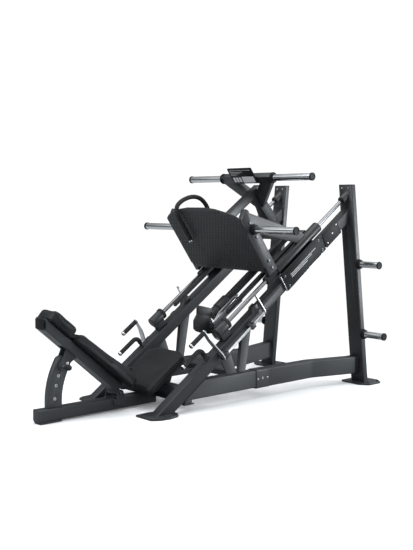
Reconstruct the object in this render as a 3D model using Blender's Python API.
# Leg press machine, built as separate named pieces.
#
# World frame: metres, +Z up, floor at Z = 0, X across the machine (+X is the user's right hand),
# Y along it, head end (front) at -Y and uprights (rear) at +Y.  Three frames place the points:
#   world  x, y, z       floor frame; y is shifted so that the machine stands about Y = 0
#   slope  x, along, off along the rails towards the uprights and up, and square off them
#   back   x, up, out    up the reclined backrest from its pivot, and square out of it
import math

import bmesh
import bpy
from mathutils import Matrix, Vector

# ------------------------------------------------------------------ driving dimensions
GAP = 0.0003            # clearance between touching pieces
WALL = 0.004            # tube wall
Y_SHIFT = 0.761         # puts the middle of the machine over Y = 0
SLOPE_ANGLE = math.radians(35.0)    # slope of rails and guide rods
SLOPE_Y, SLOPE_Z = 0.708, 0.564     # origin of the slope frame
RAIL_X0, RAIL_X1 = 0.315, 0.395
RAIL_OFF0, RAIL_OFF1 = -0.160, -0.080
ROD_X, ROD_R = (RAIL_X0 + RAIL_X1) / 2, 0.015
ROD_START, ROD_END = -0.100, 1.488
FOOT_T = 0.012          # thickness of the floor plates
UPRIGHT_Y0, UPRIGHT_Y1, UPRIGHT_TOP = 1.945, 1.995, 1.514
UPRIGHT_IN, UPRIGHT_OUT = 0.430, 0.560      # upright edges at the floor
UPRIGHT_LEAN = 0.099    # inward lean per metre of height
HORN_R = 0.025          # plate horns, 50 mm
HINGE_Y, HINGE_Z = 0.015, 0.122     # backrest pivot
BACK_ANGLE = math.radians(40.5)     # backrest angle at rest
LEVER_X, LEVER_OFF, LEVER_R = 0.427, -0.125, 0.010      # release lever shaft
STOP_ALONG, STOP_OFF = -0.060, -0.012       # safety stop pivot

SLOPE_COS, SLOPE_SIN = math.cos(SLOPE_ANGLE), math.sin(SLOPE_ANGLE)
BACK_COS, BACK_SIN = math.cos(BACK_ANGLE), math.sin(BACK_ANGLE)
X_AXIS = Vector((1, 0, 0))
SLOPE_AXIS = Vector((0, SLOPE_COS, SLOPE_SIN))

for old_object in list(bpy.data.objects):
    bpy.data.objects.remove(old_object, do_unlink=True)


# ------------------------------------------------------------------ frames
def world(x, y, z):
    return Vector((x, y - Y_SHIFT, z))


def slope(x, along, off):
    return world(x, SLOPE_Y + along * SLOPE_COS - off * SLOPE_SIN,
                 SLOPE_Z + along * SLOPE_SIN + off * SLOPE_COS)


def back(x, up, out):
    return world(x, HINGE_Y - up * BACK_COS + out * BACK_SIN,
                 HINGE_Z + up * BACK_SIN + out * BACK_COS)


def along_at_z(off, z):
    """Distance along the slope at which a line at `off` reaches height z."""
    return (z - SLOPE_Z - off * SLOPE_COS) / SLOPE_SIN


def along_at_y(off, y):
    return (y - SLOPE_Y + off * SLOPE_SIN) / SLOPE_COS


def y_under_rail(z):
    off = RAIL_OFF0 - GAP
    return SLOPE_Y + along_at_z(off, z) * SLOPE_COS - off * SLOPE_SIN


def z_under_rail(y):
    off = RAIL_OFF0 - GAP
    return SLOPE_Z + along_at_y(off, y) * SLOPE_SIN + off * SLOPE_COS


HINGE = world(0, HINGE_Y, HINGE_Z)
ROD_ORIGIN = slope(ROD_X, 0, 0)

# ------------------------------------------------------------------ materials
PAINT = dict(color=(0.045, 0.050, 0.058), roughness=0.42, metallic=0.35)
PAINT_LIGHT = dict(color=(0.075, 0.080, 0.090), roughness=0.45, metallic=0.35)
CHROME = dict(color=(0.80, 0.81, 0.82), roughness=0.12, metallic=1.0)
STEEL = dict(color=(0.60, 0.60, 0.61), roughness=0.34, metallic=1.0)
RUBBER = dict(color=(0.018, 0.018, 0.019), roughness=0.75, metallic=0.0)
PLASTIC = dict(color=(0.020, 0.021, 0.023), roughness=0.45, metallic=0.0)
LEATHER = dict(color=(0.022, 0.023, 0.026), roughness=0.55, metallic=0.0)


def material(name, color, roughness, metallic):
    mat = bpy.data.materials.new(name)
    mat.use_nodes = True
    inputs = mat.node_tree.nodes["Principled BSDF"].inputs
    inputs["Base Color"].default_value = (*color, 1.0)
    inputs["Roughness"].default_value = roughness
    inputs["Metallic"].default_value = metallic
    mat.diffuse_color = (*color, 1.0)
    return mat


# ------------------------------------------------------------------ outlines
def round_rect(u0, u1, v0, v1, radius, steps=3):
    points = []
    for center_u, center_v, start in ((u1 - radius, v1 - radius, 0), (u0 + radius, v1 - radius, 90),
                                      (u0 + radius, v0 + radius, 180),
                                      (u1 - radius, v0 + radius, 270)):
        for i in range(steps + 1):
            angle = math.radians(start + 90.0 * i / steps)
            points.append((center_u + radius * math.cos(angle),
                           center_v + radius * math.sin(angle)))
    return points


def tube_outlines(u0, u1, v0, v1, radius, inner_radius):
    """Outer and inner outlines of a rectangular tube."""
    return (round_rect(u0, u1, v0, v1, radius),
            round_rect(u0 + WALL, u1 - WALL, v0 + WALL, v1 - WALL, inner_radius))


def circle(center_u, center_v, radius, count=24):
    angles = [2 * math.pi * i / count for i in range(count)]
    return [(center_u + radius * math.cos(a), center_v + radius * math.sin(a)) for a in angles]


def rounded(points, radius, steps=3):
    """Outline with its corners rounded; radius is one value or one per corner."""
    rounded_points = []
    count = len(points)
    for i in range(count):
        corner_radius = radius[i] if isinstance(radius, (list, tuple)) else radius
        before, corner, after = (Vector(points[(i + k) % count]) for k in (-1, 0, 1))
        to_before, to_after = before - corner, after - corner
        length_before, length_after = to_before.length, to_after.length
        to_before, to_after = to_before / length_before, to_after / length_after
        angle = to_before.angle(to_after)
        if corner_radius <= 0 or angle > math.pi - 0.02:
            rounded_points.append((corner.x, corner.y))
            continue
        trim = min(corner_radius / math.tan(angle / 2), 0.45 * length_before, 0.45 * length_after)
        start, end = corner + to_before * trim, corner + to_after * trim
        for k in range(steps + 1):
            t = k / steps
            point = start * (1 - t) ** 2 + corner * 2 * t * (1 - t) + end * t ** 2
            rounded_points.append((point.x, point.y))
    return rounded_points


def symmetric(half):
    """Closed outline from its +X half."""
    return half + [(-x, v) for x, v in reversed(half)]


def double_ended(half):
    """Lathe profile from its positive half."""
    return [(-distance, radius) for distance, radius in reversed(half)] + half


# ------------------------------------------------------------------ solids (bmesh builders)
def loft(rings):
    """Closed solid through equal-length rings of points."""
    bm = bmesh.new()
    verts = [[bm.verts.new(point) for point in ring] for ring in rings]
    count = len(rings[0])
    for near, far in zip(verts, verts[1:]):
        for i in range(count):
            j = (i + 1) % count
            bm.faces.new((near[i], near[j], far[j], far[i]))
    bm.faces.new(list(reversed(verts[0])))
    bm.faces.new(verts[-1])
    bmesh.ops.recalc_face_normals(bm, faces=bm.faces)
    return bm


def loft_hollow(outer_rings, inner_rings):
    """Open-ended tube from outer and inner rings of the same count."""
    bm = bmesh.new()
    outer = [[bm.verts.new(point) for point in ring] for ring in outer_rings]
    inner = [[bm.verts.new(point) for point in ring] for ring in inner_rings]
    count = len(outer[0])
    for k in range(len(outer) - 1):
        for i in range(count):
            j = (i + 1) % count
            bm.faces.new((outer[k][i], outer[k][j], outer[k + 1][j], outer[k + 1][i]))
            bm.faces.new((inner[k][i], inner[k + 1][i], inner[k + 1][j], inner[k][j]))
    for k in (0, -1):
        for i in range(count):
            j = (i + 1) % count
            bm.faces.new((outer[k][i], inner[k][i], inner[k][j], outer[k][j]))
    bmesh.ops.recalc_face_normals(bm, faces=bm.faces)
    return bm


def tube(outlines, stations):
    """Tube from (outer, inner) outlines; each station maps an outline pair to a point."""
    return loft_hollow(*[[[station(*pair) for pair in outline] for station in stations]
                         for outline in outlines])


def side_plate(frame, outline, x0, x1):
    """Outline in the frame's 2nd and 3rd coordinates, extruded across the machine."""
    return loft([[frame(x, *pair) for pair in outline] for x in (x0, x1)])


def side_plates(frame, outline, x0, x1):
    """The same plate on both sides of X = 0."""
    return [side_plate(frame, outline, x0, x1), side_plate(frame, outline, -x1, -x0)]


def cross_plate(frame, outline, start, end):
    """Outline in x and the 3rd coordinate, extruded along the 2nd."""
    return loft([[frame(x, second, third) for x, third in outline] for second in (start, end)])


def flat_plate(frame, outline, start, end):
    """Outline in x and the 2nd coordinate, extruded along the 3rd."""
    return loft([[frame(x, second, third) for x, second in outline] for third in (start, end)])


def rect(u0, u1, v0, v1):
    return [(u0, v0), (u1, v0), (u1, v1), (u0, v1)]


def turned_ring(origin, direction, distance, radius, count):
    direction = direction.normalized()
    guide = X_AXIS if abs(direction.x) < 0.9 else SLOPE_AXIS
    across = (guide - direction * guide.dot(direction)).normalized()
    square = direction.cross(across)
    center = origin + direction * distance
    return [center + across * x + square * y for x, y in circle(0, 0, radius, count)]


def lathe(origin, direction, profile, count=24):
    """Turned solid: profile of (distance along direction, radius), closed by flat ends."""
    return loft([turned_ring(origin, direction, distance, radius, count)
                 for distance, radius in profile])


def sleeve(origin, direction, profile, bore, count=24):
    """Turned tube with a plain bore."""
    return loft_hollow(
        [turned_ring(origin, direction, distance, radius, count) for distance, radius in profile],
        [turned_ring(origin, direction, distance, bore, count) for distance, _ in profile])


def sweep(points, radii, count=14):
    """Round bar along a path that lies in a plane of constant X."""
    rings = []
    last = len(points) - 1
    for i, point in enumerate(points):
        before = points[max(i - 1, 0)]
        after = points[min(i + 1, last)]
        heading_in = (point - before).normalized() if i else (after - point).normalized()
        heading_out = (after - point).normalized() if i < last else heading_in
        heading = (heading_in + heading_out).normalized()
        # widen the mitre ring so that the bar keeps its thickness through the bend
        stretch = 1.0 / max(heading.dot(heading_in), 0.5)
        normal = heading.cross(X_AXIS).normalized()
        rings.append([point + X_AXIS * x + normal * (stretch * y)
                      for x, y in circle(0, 0, radii[i], count)])
    return loft(rings)


def mirrored(bm):
    """Copy of a solid on the other side of the machine."""
    copy = bm.copy()
    for vert in copy.verts:
        vert.co.x = -vert.co.x
    bmesh.ops.reverse_faces(copy, faces=copy.faces)
    return copy


# ------------------------------------------------------------------ pieces
def to_object(bm, name):
    mesh = bpy.data.meshes.new(name)
    bm.to_mesh(mesh)
    bm.free()
    obj = bpy.data.objects.new(name, mesh)
    bpy.context.scene.collection.objects.link(obj)
    return obj


def apply_booleans(obj, unions, cuts):
    """Join the unions to obj, take the cuts away and leave one clean mesh."""
    helpers = []
    for operation, group in (("UNION", unions), ("DIFFERENCE", cuts)):
        for k, bm in enumerate(group):
            helper = to_object(bm, f"tmp_{operation}_{k}")
            modifier = obj.modifiers.new(f"{operation}_{k}", "BOOLEAN")
            modifier.operation = operation
            modifier.solver = "EXACT"
            modifier.object = helper
            helpers.append(helper)
    depsgraph = bpy.context.evaluated_depsgraph_get()
    depsgraph.update()
    mesh = bpy.data.meshes.new_from_object(obj.evaluated_get(depsgraph))
    obj.modifiers.clear()
    old_mesh = obj.data
    obj.data = mesh
    bpy.data.meshes.remove(old_mesh)
    mesh.name = obj.name
    for helper in helpers:
        helper_mesh = helper.data
        bpy.data.objects.remove(helper, do_unlink=True)
        bpy.data.meshes.remove(helper_mesh)
    bm = bmesh.new()
    bm.from_mesh(mesh)
    bmesh.ops.remove_doubles(bm, verts=bm.verts, dist=1e-6)
    bmesh.ops.recalc_face_normals(bm, faces=bm.faces)
    bm.to_mesh(mesh)
    bm.free()


def make(name, look, solids, cuts=(), pivot=None):
    """One named piece: the union of its solids, less its cuts, with its origin at the pivot."""
    obj = to_object(solids[0], name)
    if len(solids) > 1 or cuts:
        apply_booleans(obj, solids[1:], cuts)
    mesh = obj.data
    mesh.materials.clear()
    mesh.materials.append(material(name, **look))
    mesh.polygons.foreach_set("use_smooth", [True] * len(mesh.polygons))
    mesh.set_sharp_from_angle(angle=math.radians(32))
    if pivot is not None:
        mesh.transform(Matrix.Translation(-pivot))
        obj.location = pivot


def make_pair(name, look, solids, cuts=(), pivot=None):
    """A piece that the machine has on both sides, given as its right-hand solids."""
    left_solids = [mirrored(bm) for bm in solids]
    left_cuts = [mirrored(bm) for bm in cuts]
    left_pivot = None if pivot is None else Vector((-pivot.x, pivot.y, pivot.z))
    make(f"{name}_right", look, solids, cuts, pivot)
    make(f"{name}_left", look, left_solids, left_cuts, left_pivot)


# ------------------------------------------------------------------ base
BEAM_HALF_W, BEAM_Z0, BEAM_Z1 = 0.040, 0.012, 0.090
BEAM_HEAD_Y = -0.572
CROSS_Y0, CROSS_Y1, CROSS_Z0, CROSS_Z1 = 0.335, 0.415, 0.050, 0.150     # front cross member
CROSS_HALF_W = RAIL_X0 - GAP
SIDE_BEAM_Z0 = 0.080
LUG_X0, LUG_X1 = 0.0620, 0.0700         # hinge lugs either side of the backrest
HINGE_PIN_R = 0.0080
HINGE_CUT = 0.09                        # half length of the bores cut on the hinge line

lug = rounded([(-0.022, 0.045), (0.052, 0.045), (0.042, 0.112), (0.034, 0.143),
               (-0.004, 0.143), (-0.012, 0.112)], 0.012)        # y, z
make("base_beam", PAINT, [
    cross_plate(world, round_rect(-BEAM_HALF_W, BEAM_HALF_W, BEAM_Z0, BEAM_Z1, 0.008),
                BEAM_HEAD_Y, CROSS_Y0 - GAP),
    flat_plate(world, rect(-0.066, 0.066, -0.030, 0.060), 0.050, 0.086),
    *side_plates(world, lug, LUG_X0, LUG_X1),
], [lathe(HINGE, X_AXIS, [(-HINGE_CUT, HINGE_PIN_R + GAP), (HINGE_CUT, HINGE_PIN_R + GAP)])])


def shoe_ring(y, inset):
    return [world(x, y, z) for x, z in round_rect(-BEAM_HALF_W + inset, BEAM_HALF_W - inset,
                                                  BEAM_Z0 + inset, BEAM_Z1 - inset, 0.012)]


# end cap against the beam's head end, with a sole pad that reaches back under the beam
SHOE_STATIONS = [(-0.588, 0.006), (-0.5855, 0.001), (-0.582, -0.002),
                 (BEAM_HEAD_Y - GAP, -0.002)]                   # y, inset
make("base_shoe", RUBBER, [
    loft([shoe_ring(*station) for station in SHOE_STATIONS]),
    flat_plate(world, round_rect(-BEAM_HALF_W, BEAM_HALF_W, -0.580, -0.420, 0.008),
               0.0, BEAM_Z0 - GAP),
])

# Sector on the base beam, with a row of holes for the backrest's pull pin
SECTOR_IN_R, SECTOR_OUT_R = 0.425, 0.528
SECTOR_FOOT_Z = BEAM_Z1 + GAP
SECTOR_HOLE_R = 0.0080
HOLE_ARC_R = 0.4780                     # the holes stand this far from the hinge
HOLE_ANGLES = (3.0, 13.1, 20.7, 28.4)
SECTOR_TIP = [(0.433, 34.4), (0.450, 35.8), (0.472, 36.2), (0.500, 35.6),
              (0.519, 34.0)]            # radius, degrees


def arc_point(radius, degrees):
    """(y, z) about the hinge, with angles measured up from the -Y direction."""
    angle = math.radians(degrees)
    return HINGE_Y - radius * math.cos(angle), HINGE_Z + radius * math.sin(angle)


def arc_foot(radius):
    """(y, z) where an arc about the hinge meets the sector's foot."""
    return HINGE_Y - math.sqrt(radius ** 2 - (HINGE_Z - SECTOR_FOOT_Z) ** 2), SECTOR_FOOT_Z


sector = [arc_foot(SECTOR_IN_R)]
sector += [arc_point(SECTOR_IN_R, -3.0 + 35.0 * i / 12) for i in range(13)]
sector += [arc_point(*tip) for tip in SECTOR_TIP]
sector += [arc_point(SECTOR_OUT_R, 32.0 - 34.6 * i / 12) for i in range(13)]
sector.append(arc_foot(SECTOR_OUT_R))
make("adjustment_sector", PAINT_LIGHT, [side_plate(world, sector, -0.021, 0.021)],
     [lathe(world(0, *arc_point(HOLE_ARC_R, degrees)), X_AXIS,
            [(-0.05, SECTOR_HOLE_R), (0.05, SECTOR_HOLE_R)], 16) for degrees in HOLE_ANGLES])

# cross member with a tab under each side beam
tab = flat_plate(world, rounded(rect(0.300, 0.385, 0.302, 0.372), 0.016),
                 0.047, SIDE_BEAM_Z0 - GAP)
make("front_cross_member", PAINT, [
    side_plate(world, round_rect(CROSS_Y0, CROSS_Y1, CROSS_Z0, CROSS_Z1, 0.008),
               -CROSS_HALF_W, CROSS_HALF_W),
    tab, mirrored(tab),
])

front_foot = rounded(                   # x, y
    [(0.250, 0.0), (0.412, 0.0), (0.448, 0.050), (0.458, 0.125), (0.440, 0.205),
     (0.385, 0.242), (0.290, 0.236), (0.250, 0.190), (0.244, 0.100)],
    [0.006, 0.02, 0.03, 0.04, 0.04, 0.04, 0.04, 0.03, 0.03])
make_pair("front_foot", PAINT, [flat_plate(world, front_foot, 0.0, FOOT_T)])

# ------------------------------------------------------------------ rails
PLATE_X0 = 0.393                        # splice and blocks start inside the rail's outer wall
BLOCK_SPANS = ((-0.200, -0.160), (0.100, 0.140))    # lever shaft blocks, along the slope
BLOCK_HALF = 0.0175
BLOCK_BORE = LEVER_R + 0.0005

rail_tube = tube(tube_outlines(RAIL_X0, RAIL_X1, RAIL_OFF0, RAIL_OFF1, 0.008, 0.004), [
    lambda x, off: slope(x, along_at_z(off, FOOT_T + GAP), off),
    lambda x, off: slope(x, along_at_y(off, UPRIGHT_Y0 - GAP), off)])
splice = rounded([(1.070, -0.165), (1.270, -0.165), (1.270, -0.050), (1.085, -0.050)], 0.008)
wedge = [(0.185, -0.082), (0.265, -0.082), (0.265, -0.050), (0.225, -0.050)]
make_pair("rail", PAINT, [
    rail_tube,
    side_plate(slope, splice, PLATE_X0, 0.4010),
    side_plate(slope, wedge, 0.345, 0.3935),
] + [
    side_plate(slope, rect(start, end, LEVER_OFF - BLOCK_HALF, LEVER_OFF + BLOCK_HALF),
               PLATE_X0, LEVER_X + BLOCK_HALF) for start, end in BLOCK_SPANS
], [
    lathe(slope(LEVER_X, 0, LEVER_OFF), SLOPE_AXIS,
          [(start - 0.01, BLOCK_BORE), (end + 0.01, BLOCK_BORE)], 20) for start, end in BLOCK_SPANS
])

# ------------------------------------------------------------------ side beams
SIDE_JOIN_Y = 0.950                     # front and rear beams meet here
GUSSET_Z = 0.2010                       # foot of gusset and strut, inside the beam's top wall

gusset = [(0.705, GUSSET_Z), (0.640, z_under_rail(0.640)), (0.725, z_under_rail(0.725)),
          (0.795, GUSSET_Z)]
strut = [(0.825, GUSSET_Z), (0.885, GUSSET_Z), (0.945, z_under_rail(0.945)),
         (0.855, z_under_rail(0.855))]
make_pair("side_beam_front", PAINT, [
    tube(tube_outlines(RAIL_X0, RAIL_X1, SIDE_BEAM_Z0, 0.203, 0.010, 0.005), [
        lambda x, z: world(x, y_under_rail(z), z),
        lambda x, z: world(x, SIDE_JOIN_Y - GAP, z)]),
    side_plate(world, gusset, 0.351, 0.359),
    side_plate(world, strut, 0.322, 0.352),
])

REAR_BEAM_W = 0.082
REAR_BEAM_PATH = [(0.355, SIDE_JOIN_Y + GAP), (0.355, 1.515), (0.3565, 1.530), (0.361, 1.555),
                  (0.470, UPRIGHT_Y0 - GAP)]        # middle x, y
make_pair("side_beam_rear", PAINT, [
    tube(tube_outlines(-REAR_BEAM_W / 2, REAR_BEAM_W / 2, 0.075, 0.205, 0.010, 0.006),
         [lambda x, z, middle=middle, y=y: world(middle + x, y, z)
          for middle, y in REAR_BEAM_PATH])])

make("rear_cross_member", PAINT, [
    tube(tube_outlines(0.830, 0.930, 0.150, 0.198, 0.008, 0.004),
         [lambda y, z, x=x: world(x, y, z) for x in (-CROSS_HALF_W, CROSS_HALF_W)])])


# ------------------------------------------------------------------ uprights
def leaning_prism(outline, z0, z1):
    return loft([[world(x - UPRIGHT_LEAN * z, y, z) for x, y in outline] for z in (z0, z1)])


upright_out, upright_in = tube_outlines(UPRIGHT_IN, UPRIGHT_OUT, UPRIGHT_Y0, UPRIGHT_Y1,
                                        0.010, 0.006)
rod_socket = tube((circle(ROD_X, 0.0, 0.030), circle(ROD_X, 0.0, ROD_R + GAP)), [
    lambda x, off: slope(x, 1.462, off),
    lambda x, off: slope(x, along_at_y(off, UPRIGHT_Y0 + 0.002), off)])
# the rod socket joins the closed tube first, then the tube is hollowed from below
make_pair("upright", PAINT,
          [leaning_prism(upright_out, FOOT_T + GAP, UPRIGHT_TOP), rod_socket],
          [leaning_prism(upright_in, -0.05, UPRIGHT_TOP - 0.005)])

rear_foot = rounded([(0.376, 1.890), (0.560, 1.878), (0.627, 1.925), (0.627, 2.060),
                     (0.560, 2.110), (0.376, 2.110)], [0.02, 0.03, 0.03, 0.03, 0.03, 0.02])
make_pair("rear_foot", PAINT, [flat_plate(world, rear_foot, 0.0, FOOT_T)])


# ------------------------------------------------------------------ storage horns
def horn_tip(end):
    """Lathe profile of the lip at the outer end of a plate horn."""
    return [(end - 0.012, HORN_R), (end - 0.012, 0.028), (end - 0.002, 0.028), (end, 0.026)]


def storage_horn(z, end):
    start = UPRIGHT_OUT - UPRIGHT_LEAN * z + GAP
    profile = [(start, 0.024), (start + 0.006, 0.0245), (start + 0.006, 0.039),
               (start + 0.024, 0.039), (start + 0.024, HORN_R)] + horn_tip(end)
    rings = [turned_ring(world(x, (UPRIGHT_Y0 + UPRIGHT_Y1) / 2, z), X_AXIS, 0, radius, 24)
             for x, radius in profile]
    # the root lies flat against the leaning upright
    for point in rings[0]:
        point.x -= UPRIGHT_LEAN * (point.z - z)
    return loft(rings)


make_pair("storage_horn_upper", CHROME, [storage_horn(0.910, 0.672)])
make_pair("storage_horn_lower", CHROME, [storage_horn(0.377, 0.727)])

# ------------------------------------------------------------------ guide rods
ROD_BLOCK_TOP = -0.021
STOP_LINE = slope(0, STOP_ALONG, STOP_OFF)      # stop pivot line on the middle plane

make_pair("guide_rod", CHROME,
          [lathe(ROD_ORIGIN, SLOPE_AXIS, [(ROD_START, ROD_R), (ROD_END, ROD_R)])])


def rod_block():
    """Barrel round the rod's lower end, on a post from the rail, and the rod's bore."""
    barrel = lathe(ROD_ORIGIN, SLOPE_AXIS, [(-0.122, 0.0375), (ROD_BLOCK_TOP, 0.0375)])
    post = side_plate(slope, rect(-0.112, -0.030, RAIL_OFF1 + GAP, -0.010), 0.333, 0.377)
    bore = lathe(ROD_ORIGIN, SLOPE_AXIS, [(ROD_START - 0.0005, ROD_R + GAP), (0.0, ROD_R + GAP)])
    return [barrel, post], [bore]


right_solids, right_cuts = rod_block()
left_solids, left_cuts = ([mirrored(bm) for bm in group] for group in (right_solids, right_cuts))
# the right block carries the safety stop's pivot pin and its collar
right_solids += [lathe(STOP_LINE, X_AXIS, [(x0, radius), (x1, radius)], 16)
                 for x0, x1, radius in ((0.2330, 0.3250, 0.0070), (0.2690, 0.2712, 0.0120))]
make("lower_rod_block_right", PAINT, right_solids, right_cuts)
make("lower_rod_block_left", PAINT, left_solids, left_cuts)

make_pair("bumper", RUBBER, [
    sleeve(ROD_ORIGIN, SLOPE_AXIS, [(ROD_BLOCK_TOP + GAP, 0.0425), (-0.004, 0.0425), (0.0, 0.039)],
           ROD_R + 0.0005)])

# ------------------------------------------------------------------ fixed hand grips
GRIP_X, GRIP_R, GRIP_END_R = 0.353, 0.0160, 0.0178
GRIP_BEND_R, GRIP_BEND_ALONG, GRIP_BEND_OFF = 0.040, -0.329, -0.032    # bend and its centre

grip_off = GRIP_BEND_OFF + GRIP_BEND_R
grip_path = [(along, grip_off) for along in (-0.482, -0.470, -0.4695, GRIP_BEND_ALONG)]
for i in range(1, 9):
    angle = math.radians(90 - 90 * i / 8)
    grip_path.append((GRIP_BEND_ALONG + GRIP_BEND_R * math.cos(angle),
                      GRIP_BEND_OFF + GRIP_BEND_R * math.sin(angle)))
grip_path.append((GRIP_BEND_ALONG + GRIP_BEND_R, RAIL_OFF1 + GAP))
make_pair("hand_grip", RUBBER, [
    sweep([slope(GRIP_X, *pair) for pair in grip_path],
          [GRIP_END_R] * 2 + [GRIP_R] * (len(grip_path) - 2))])

# ------------------------------------------------------------------ seat
SEAT_UNDERSIDE = -0.073

seat = rounded([(-0.200, -0.710), (0.200, -0.710), (0.200, -0.345), (0.120, -0.295),
                (-0.120, -0.295), (-0.200, -0.345)],
               [0.03, 0.03, 0.03, 0.02, 0.02, 0.03])            # x, along
make("seat_pad", LEATHER, [flat_plate(slope, seat, SEAT_UNDERSIDE, -0.028)])

board = rounded([(-0.180, -0.655), (0.180, -0.655), (0.180, -0.350), (0.105, -0.315),
                 (-0.105, -0.315), (-0.180, -0.350)], 0.012)    # x, along
seat_leg = [(0.3365, CROSS_Z1 + GAP), (0.4135, CROSS_Z1 + GAP), (0.4700, 0.2900),
            (0.3300, 0.1950)]                                   # y, z
make("seat_frame", PAINT, [flat_plate(slope, board, -0.088, SEAT_UNDERSIDE - GAP),
                           *side_plates(world, seat_leg, 0.060, 0.100)])

# ------------------------------------------------------------------ backrest
BACK_BEAM_REACH = 0.555                 # level distance from the pivot to the beam's upright end
PULL_UP, PULL_OUT = 0.4674, -0.1002     # pull pin in the backrest frame
PAD_OUT = 0.060                         # underside of both pads

make("backrest_pivot_pin", STEEL, [lathe(HINGE, X_AXIS, double_ended(
    [(LUG_X1 + GAP, HINGE_PIN_R), (LUG_X1 + GAP, 0.0130), (0.0815, 0.0130), (0.0830, 0.0110)]))])

back_section = round_rect(-0.060, 0.060, -0.004, 0.056, 0.008)  # x, out
back_tube = loft([
    [back(x, 0.022, out) for x, out in back_section],
    [back(x, (BACK_BEAM_REACH + out * BACK_SIN) / BACK_COS, out) for x, out in back_section]])
hinge_web = [(0.000, -0.010), (0.060, -0.002), (0.060, 0.030), (0.010, 0.022)]     # up, out
fork = rounded([(0.422, 0.006), (0.520, 0.006), (0.500, -0.060), (0.497, -0.126),
                (0.440, -0.126), (0.437, -0.060)],
               [0.006, 0.006, 0.03, 0.027, 0.027, 0.03], 4)     # up, out
pull_line = back(0, PULL_UP, PULL_OUT)
make("backrest_beam", PAINT, [
    back_tube,
    lathe(HINGE, X_AXIS, [(-0.0580, 0.0240), (0.0580, 0.0240)]),
    side_plate(back, hinge_web, -0.050, 0.050),
    *side_plates(back, fork, 0.0260, 0.0340),
    lathe(pull_line, X_AXIS, [(0.0310, 0.0140), (0.0680, 0.0140)]),
], [
    lathe(HINGE, X_AXIS, [(-HINGE_CUT, 0.0085), (HINGE_CUT, 0.0085)]),
    # slot through which the adjustment sector passes
    side_plate(back, rect(0.405, 0.555, -0.03, 0.09), -0.0255, 0.0255),
    lathe(pull_line, X_AXIS, [(0.0, 0.0080), (0.09, 0.0080)], 20),
], pivot=HINGE)

head = rounded(rect(-0.100, 0.100, 0.545, 0.770), 0.045, 4)     # x, up
make("head_pad", LEATHER, [flat_plate(back, head, PAD_OUT, 0.135)], pivot=HINGE)

BACK_PAD = [                            # up, half width, out at the edge, out at the crown
    (-0.005, 0.150, 0.104, 0.122), (0.010, 0.164, 0.118, 0.142), (0.050, 0.170, 0.136, 0.166),
    (0.100, 0.170, 0.144, 0.178), (0.150, 0.170, 0.142, 0.172), (0.200, 0.170, 0.134, 0.156),
    (0.250, 0.169, 0.124, 0.139), (0.300, 0.162, 0.119, 0.130), (0.510, 0.127, 0.119, 0.128),
    (0.530, 0.118, 0.112, 0.122), (0.535, 0.110, 0.108, 0.116)]


def back_ring(up, half_w, edge, crown):
    """Section across the back pad: flat underneath, raised along the middle."""
    return [back(x, up, out) for x, out in (
        (-half_w + 0.006, PAD_OUT), (half_w - 0.006, PAD_OUT), (half_w, 0.068), (half_w, edge),
        (half_w - 0.045, crown), (-half_w + 0.045, crown), (-half_w, edge), (-half_w, 0.068))]


make("back_pad", LEATHER, [loft([back_ring(*station) for station in BACK_PAD])], pivot=HINGE)
make("pull_pin", PLASTIC, [lathe(pull_line, X_AXIS, [
    (0.0265, 0.0060), (0.0290, 0.0075), (0.0700, 0.0075), (0.0700, 0.0120),
    (0.0780, 0.0170), (0.1050, 0.0185), (0.1120, 0.0160), (0.1140, 0.0110)])],
     pivot=back(0.027, PULL_UP, PULL_OUT))

# ------------------------------------------------------------------ release levers
LEVER_GRIP = slope(0.378, 0, 0.093)     # axis of the handle, on along = 0
LEVER_PIVOT = slope(LEVER_X, 0, LEVER_OFF)
LEVER_ARM_START, LEVER_ARM_END = -0.2190, -0.2110
LEVER_CORE_R, LEVER_KNOB_END = 0.0090, -0.3520

lever_arm = rounded([                   # x, off
    (0.3600, 0.0860), (0.3640, 0.0200), (0.3800, -0.0350), (0.4010, -0.0780),
    (0.4010, -0.1280), (0.4100, -0.1440), (0.4270, -0.1520), (0.4440, -0.1440),
    (0.4530, -0.1250), (0.4530, -0.0900), (0.4270, -0.0300), (0.4020, 0.0300),
    (0.3970, 0.0860), (0.3920, 0.1060), (0.3780, 0.1130), (0.3650, 0.1060)], 0.010, 2)
lever_catch = rounded([                 # x, off
    (0.4160, -0.1220), (0.4180, -0.1335), (0.4270, -0.1375), (0.4390, -0.1300),
    (0.4440, -0.1150), (0.4400, -0.0500), (0.4330, 0.0300), (0.4190, 0.0300),
    (0.4180, -0.0500)], 0.004, 2)
make_pair("lever_arm", STEEL, [
    cross_plate(slope, lever_arm, LEVER_ARM_START, LEVER_ARM_END),
    lathe(LEVER_PIVOT, SLOPE_AXIS, [(-0.2150, LEVER_R), (0.2760, LEVER_R)], 20),
    cross_plate(slope, lever_catch, 0.2620, 0.2720),
    lathe(LEVER_GRIP, SLOPE_AXIS, [
        (-0.3620, 0.0150), (-0.3600, 0.0168), (LEVER_KNOB_END, 0.0168),
        (LEVER_KNOB_END, LEVER_CORE_R), (-0.2150, LEVER_CORE_R)], 20),
], pivot=LEVER_PIVOT)
make_pair("lever_grip", RUBBER, [
    sleeve(LEVER_GRIP, SLOPE_AXIS,
           [(LEVER_KNOB_END + GAP, 0.0160), (LEVER_ARM_START - GAP, 0.0160)],
           LEVER_CORE_R + GAP, 20)], pivot=LEVER_PIVOT)

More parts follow.
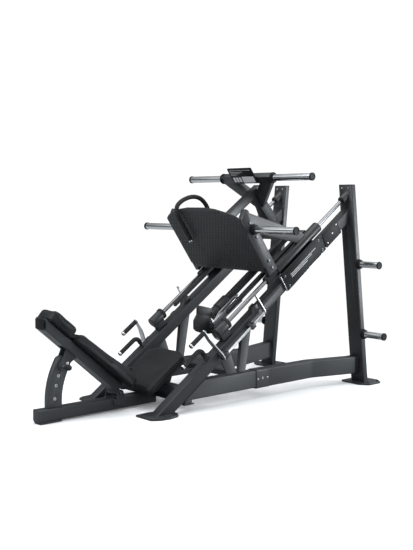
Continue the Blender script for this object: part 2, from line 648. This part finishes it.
# ------------------------------------------------------------------ safety stop (right side)
BLOCK_X0 = 0.2485
STOP_OUTLINES = {                       # along, off
    "block": [
        (-0.092, -0.034), (-0.040, -0.034), (-0.046, 0.030), (-0.040, 0.078), (0.006, 0.096),
        (-0.004, 0.120), (-0.070, 0.196), (-0.092, 0.196), (-0.120, 0.158), (-0.165, 0.142),
        (-0.198, 0.095), (-0.192, 0.068), (-0.165, 0.030), (-0.126, -0.012)],
    "link": [
        (-0.078, 0.000), (-0.084, -0.050), (-0.082, -0.090), (-0.066, -0.126), (-0.044, -0.134),
        (-0.050, -0.090), (-0.052, -0.050), (-0.020, -0.036), (0.030, -0.036), (0.120, -0.040),
        (0.268, -0.044), (0.289, -0.026), (0.284, 0.002), (0.262, 0.024), (0.230, 0.035),
        (0.050, 0.036), (0.015, 0.024), (-0.015, 0.022), (-0.042, 0.033), (-0.066, 0.020)],
}
for part, look, radius, x0, x1 in (("block", PLASTIC, 0.008, BLOCK_X0, 0.2660),
                                   ("link", STEEL, 0.010, 0.2400, BLOCK_X0 - GAP)):
    make(f"stop_{part}", look,
         [side_plate(slope, rounded(STOP_OUTLINES[part], radius, 2), x0, x1)],
         [lathe(STOP_LINE, X_AXIS, [(0.20, 0.0075), (0.30, 0.0075)], 16)],
         pivot=slope(0.25, STOP_ALONG, STOP_OFF))

# ------------------------------------------------------------------ sled
PLATE_START, PLATE_END = 0.465, 0.473   # foot plate, along the slope
COLUMN_START = PLATE_END + GAP
COLUMN_X0, COLUMN_X1 = 0.3600, 0.4000
INNER_HALF_W = COLUMN_X0 - GAP          # fits between the two columns

foot_half = [(0.360, 0.072), (0.398, 0.112), (0.400, 0.530), (0.355, 0.562), (0.300, 0.582),
             (0.190, 0.614), (0.100, 0.626)]                    # x, off
foot_radii = [0.012, 0.012, 0.025, 0.0, 0.0, 0.0, 0.0]
make("foot_plate", RUBBER, [
    cross_plate(slope, rounded(symmetric(foot_half), foot_radii + foot_radii[::-1]),
                PLATE_START, PLATE_END),
    side_plate(slope, round_rect(0.4700, 0.5400, 0.076, 0.126, 0.006),
               -INNER_HALF_W, INNER_HALF_W)])

column = [(COLUMN_START, 0.0335), (0.565, 0.0335), (0.565, 0.540), (0.548, 0.560),
          (COLUMN_START, 0.518)]                                # along, off
brace = [(0.5505, 0.322), (0.575, 0.337), (0.856, 0.0410), (0.958, 0.0410), (0.933, 0.080),
         (0.583, 0.503), (0.5505, 0.515)]                       # along, off
make_pair("sled_side_frame", PAINT, [side_plate(slope, column, COLUMN_X0, COLUMN_X1),
                                     side_plate(slope, brace, 0.3480, 0.3720)])

HOUSING_BORE = 0.0225
make_pair("rod_housing", PAINT_LIGHT, [
    sleeve(ROD_ORIGIN, SLOPE_AXIS, [(0.455, 0.0290), (0.459, 0.0310), (0.570, 0.0310),
                                    (0.570, 0.0400), (1.110, 0.0400)], HOUSING_BORE)])
BEARING_LENGTH = 0.068
for level, start in (("lower", 0.470), ("upper", 1.030)):
    bearing = [(start, HOUSING_BORE - GAP), (start + BEARING_LENGTH, HOUSING_BORE - GAP)]
    make_pair(f"linear_bearing_{level}", STEEL,
              [sleeve(ROD_ORIGIN, SLOPE_AXIS, bearing, ROD_R + 0.0004)])

cover_skin = rounded([(0.550, -0.160), (1.050, -0.160), (1.050, -0.045), (1.030, -0.020),
                      (0.570, -0.020), (0.550, -0.045)], 0.010)     # along, off
make_pair("side_cover", PLASTIC, [
    side_plate(slope, cover_skin, 0.4065, 0.4125),
    side_plate(slope, rect(0.600, 1.000, -0.0460, -0.0410), 0.350, 0.4080)])

make_pair("sled_horn", CHROME, [lathe(slope(0, 0.530, 0.400), X_AXIS, [
    (COLUMN_X1 + GAP, 0.0300), (0.4050, 0.0385), (0.4240, 0.0385), (0.4240, HORN_R)]
    + horn_tip(0.808))])

# ------------------------------------------------------------------ sled top frame
TOP_BAR_START = 0.970
HORN_TUBE_HALF_W = 0.260
TOP_HORN_LINE = slope(0, 1.010, 0.510)
PLATE_BAR_END = 0.5490                  # rear face of the bar behind the foot plate

trunk = rounded(symmetric([(0.030, 0.4197), (0.030, 0.262), (0.055, 0.110), (0.058, -0.020)]),
                [0.006, 0.05, 0.05, 0.006] * 2, 4)              # x, off
arm_outline = [(0.020, 0.255), (0.034, 0.262), (0.225, 0.452), (0.252, 0.4830),
               (0.130, 0.4830), (0.030, 0.385), (0.020, 0.375)]     # x, off
arm = cross_plate(slope, arm_outline, 0.985, 1.035)
side_bar = [(0.080, 0.003), (0.975, 0.003), (0.975, 0.027), (0.096, 0.027)]     # along, off
make("sled_top_frame", PAINT, [
    side_plate(slope, round_rect(TOP_BAR_START, 1.030, -0.030, 0.030, 0.006), -0.3145, 0.3145),
    cross_plate(slope, trunk, 0.975, 1.055),
    side_plate(slope, round_rect(COLUMN_START, 0.985, 0.362, 0.418, 0.006), -0.028, 0.028),
    side_plate(slope, round_rect(0.4740, PLATE_BAR_END, 0.370, 0.425, 0.006),
               -INNER_HALF_W, INNER_HALF_W),
    arm, mirrored(arm),
    *side_plates(slope, side_bar, 0.2730, 0.3020),
    side_plate(slope, round_rect(0.980, 1.040, 0.4798, 0.5400, 0.008),
               -HORN_TUBE_HALF_W, HORN_TUBE_HALF_W),
], [lathe(TOP_HORN_LINE, X_AXIS, [(-0.30, HORN_R + GAP), (0.30, HORN_R + GAP)])])

make("buffer_leg", PAINT, [
    side_plate(slope, round_rect(0.200, TOP_BAR_START - GAP, -0.002, 0.042, 0.006),
               0.1600, 0.2000),
    lathe(slope(0.180, 0, 0.010), SLOPE_AXIS,
          [(0.030, 0.0420), (0.036, 0.0470), (0.205, 0.0470), (0.211, 0.0400)]),
])

make("top_horn_bar", CHROME, [lathe(TOP_HORN_LINE, X_AXIS, double_ended(
    [(HORN_TUBE_HALF_W + GAP, HORN_R), (HORN_TUBE_HALF_W + GAP, 0.0390), (0.2740, 0.0390),
     (0.2740, HORN_R)] + horn_tip(0.647)))])

make("placard", PLASTIC, [
    cross_plate(slope, rounded(rect(-0.128, 0.128, 0.490, 0.625), 0.012), 0.9680, 0.9760),
    side_plate(slope, rect(0.9740, 0.9795, 0.500, 0.530), -0.020, 0.020),
])

HOOK_PATH = [                           # along, off
    (0.430, 0.350), (0.430, 0.361), (0.4302, 0.3615), (0.4305, 0.480), (0.4320, 0.560),
    (0.4370, 0.595), (0.4500, 0.622), (0.4720, 0.640), (0.5050, 0.645), (0.5500, 0.640),
    (0.6050, 0.622), (0.6500, 0.593), (0.6800, 0.557), (0.6960, 0.515), (0.7000, 0.470),
    (0.6900, 0.435), (0.6650, 0.412), (0.6300, 0.402), (0.5600, 0.400),
    (PLATE_BAR_END + GAP, 0.400)]
make("hook_handle", RUBBER, [
    sweep([slope(-0.200, *pair) for pair in HOOK_PATH],
          [0.0180] * 2 + [0.0162] * (len(HOOK_PATH) - 2))])
